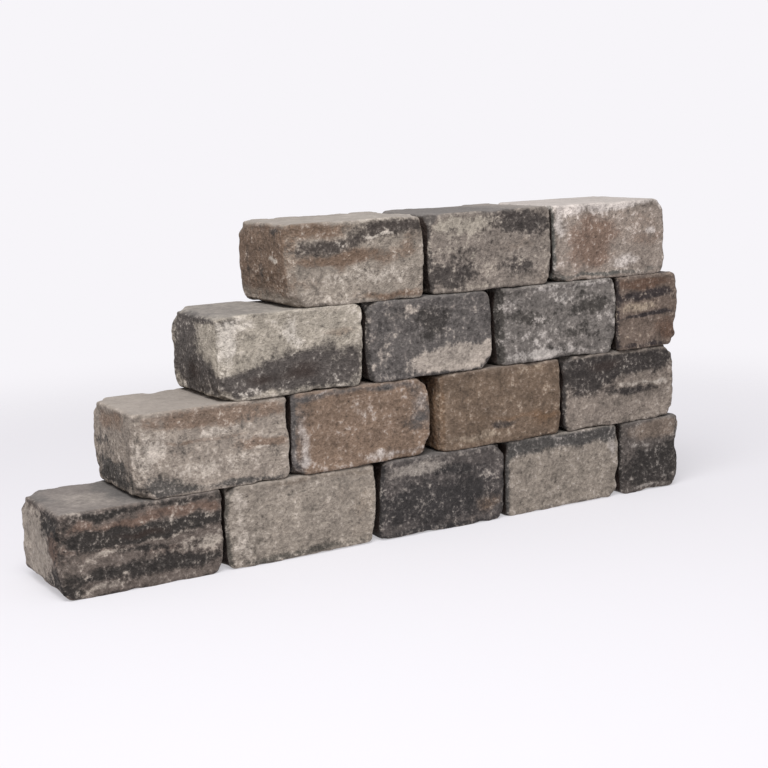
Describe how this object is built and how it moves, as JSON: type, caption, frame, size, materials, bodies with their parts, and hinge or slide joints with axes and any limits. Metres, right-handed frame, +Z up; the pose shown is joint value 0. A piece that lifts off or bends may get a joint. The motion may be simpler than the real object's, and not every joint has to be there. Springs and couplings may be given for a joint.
{
  "type": "stack of tumbled concrete walling blocks",
  "caption": "Free-standing stepped stack of solid tumbled concrete walling blocks, laid dry in running bond as a short garden wall.",
  "frame": {"origin": "on the ground, midway along the stack and midway through its depth", "axes": "+X along the stack towards its straight end, +Z up, the fair face looks along -Y"},
  "size_m": [1.3485, 0.2057, 0.6],
  "materials": {
    "charcoal_mix": "tumbled, matt, charcoal with grey and brown streaks",
    "beige_mix": "tumbled, matt, pale beige-grey with dark pits",
    "brown_mix": "tumbled, matt, warm brown with charcoal and beige streaks"
  },
  "bodies": {
    "root": {"bottom_course_block_1": "charcoal_mix", "bottom_course_block_2": "beige_mix", "bottom_course_block_3": "charcoal_mix", "bottom_course_block_4": "beige_mix", "bottom_course_cut_block": "charcoal_mix", "second_course_block_1": "beige_mix", "second_course_block_2": "brown_mix", "second_course_block_3": "brown_mix", "second_course_block_4": "charcoal_mix", "third_course_block_1": "beige_mix", "third_course_block_2": "charcoal_mix", "third_course_block_3": "charcoal_mix", "third_course_cut_block": "brown_mix", "top_course_block_1": "brown_mix", "top_course_block_2": "charcoal_mix", "top_course_block_3": "brown_mix"}
  },
  "joints": []
}
